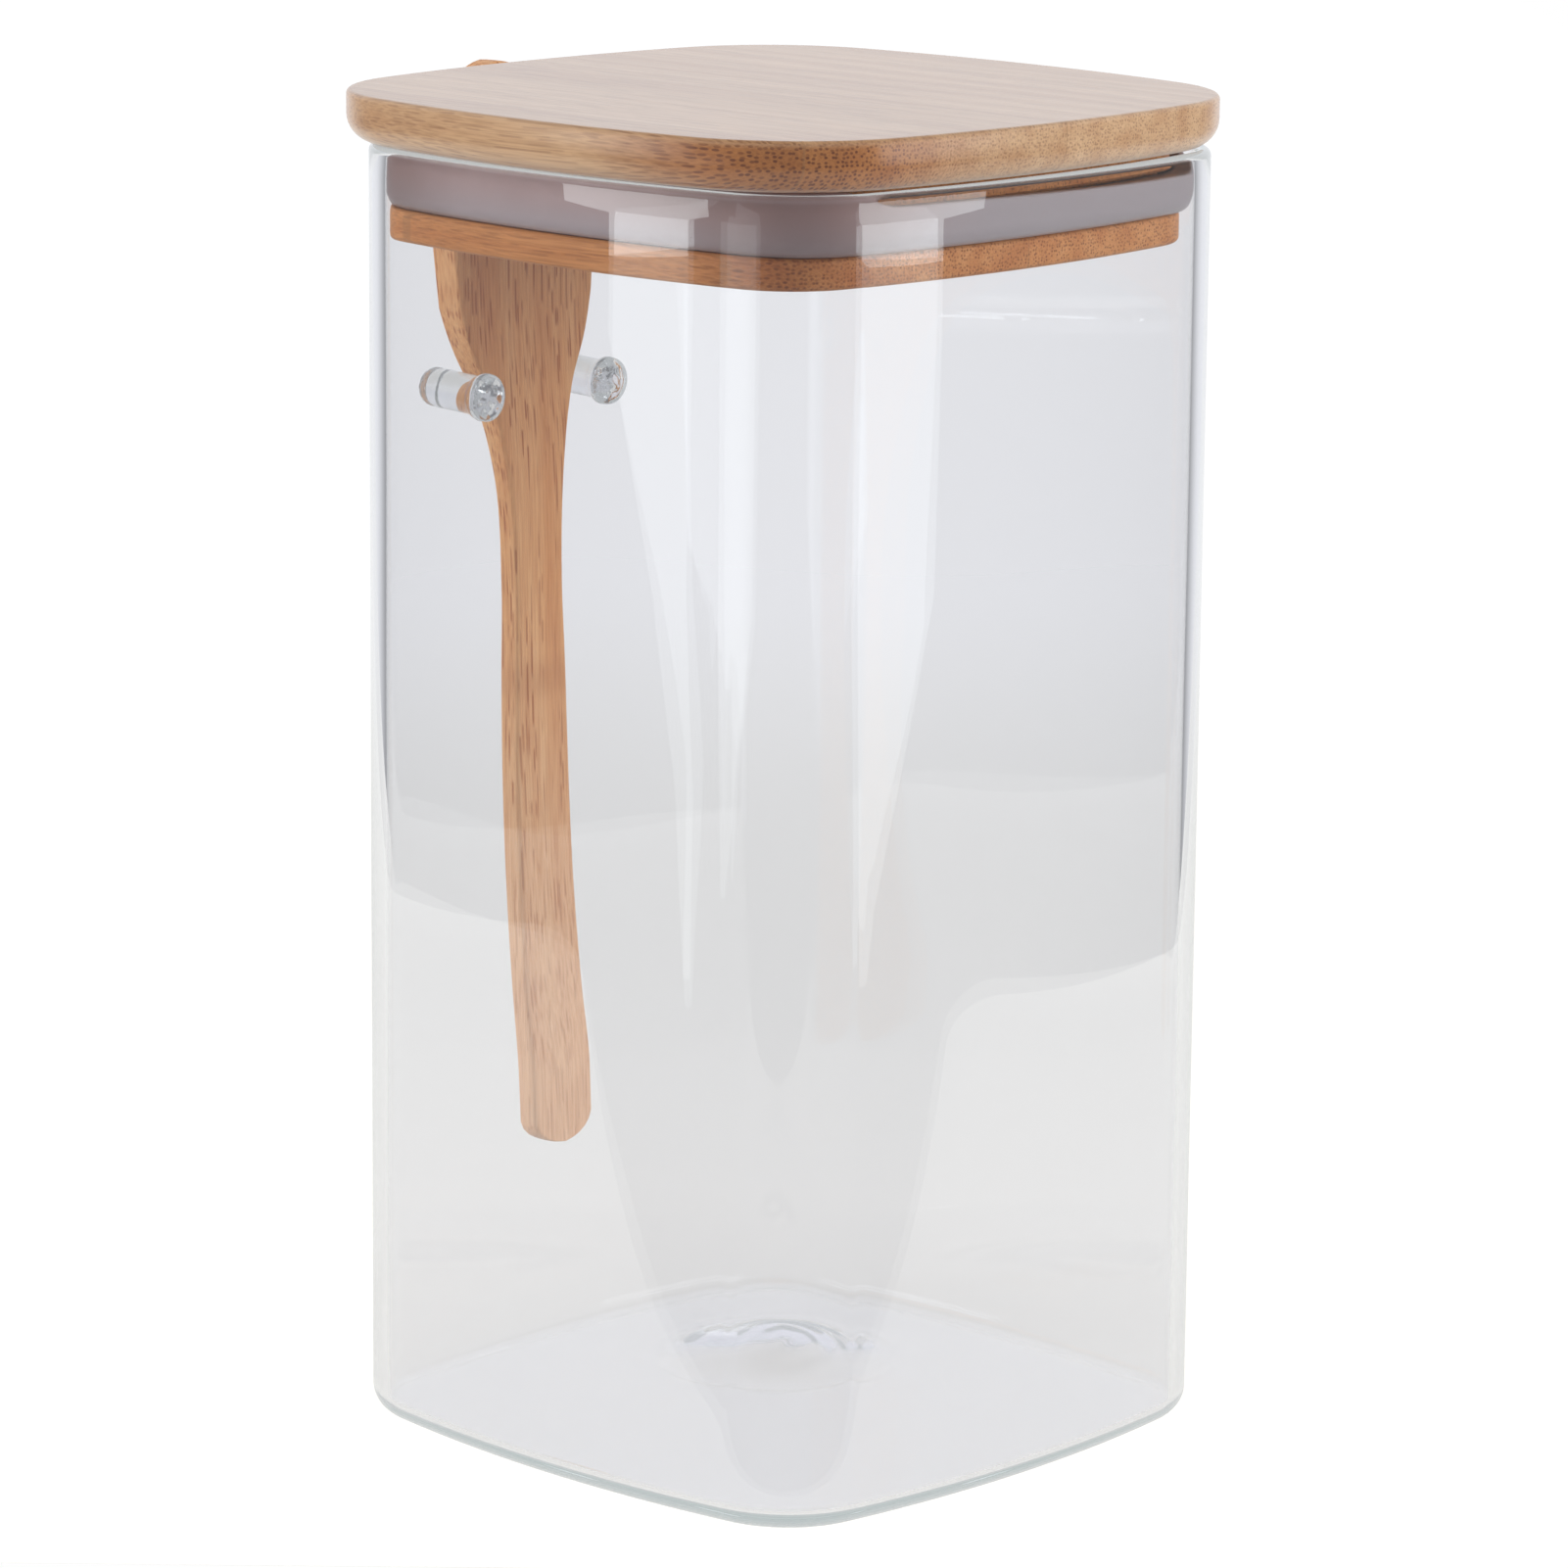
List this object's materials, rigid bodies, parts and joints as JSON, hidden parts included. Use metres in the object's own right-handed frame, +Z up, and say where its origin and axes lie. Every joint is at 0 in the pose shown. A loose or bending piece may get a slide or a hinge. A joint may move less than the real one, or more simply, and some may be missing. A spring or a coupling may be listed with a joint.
{
  "type": "square glass storage jar with hanging spoon",
  "caption": "Tall square glass storage jar with a bamboo lid, a soft seal round its plug, and a bamboo spoon hanging between glass pegs.",
  "frame": {"origin": "on the plane that the jar stands on, under the middle of the jar", "axes": "+Z up along the jar, -Y out of the wall that carries the pegs and the spoon, +X to the right of a person who faces that wall"},
  "size_m": [0.1067, 0.1156, 0.1964],
  "materials": {
    "glass": "clear polished glass",
    "bamboo_board": "sanded bamboo, matt",
    "bamboo_spoon": "sanded and oiled bamboo",
    "seal": "translucent silicone"
  },
  "bodies": {
    "jar": {"jar_body": "glass", "peg_left": "glass", "peg_right": "glass"},
    "lid": {"lid_top": "bamboo_board", "lid_neck": "bamboo_board", "lid_plug": "bamboo_board", "seal_ring": "seal"},
    "spoon": {"spoon": "bamboo_spoon"}
  },
  "joints": [
    {"name": "lid_lift", "type": "slide", "parent": "jar", "child": "lid", "axis": [0, 0, 1], "range_m": [0, 0.1]},
    {"name": "spoon_pull", "type": "slide", "parent": "jar", "child": "spoon", "axis": [0, -0.9994, 0.0349], "range_m": [0, 0.03]}
  ]
}
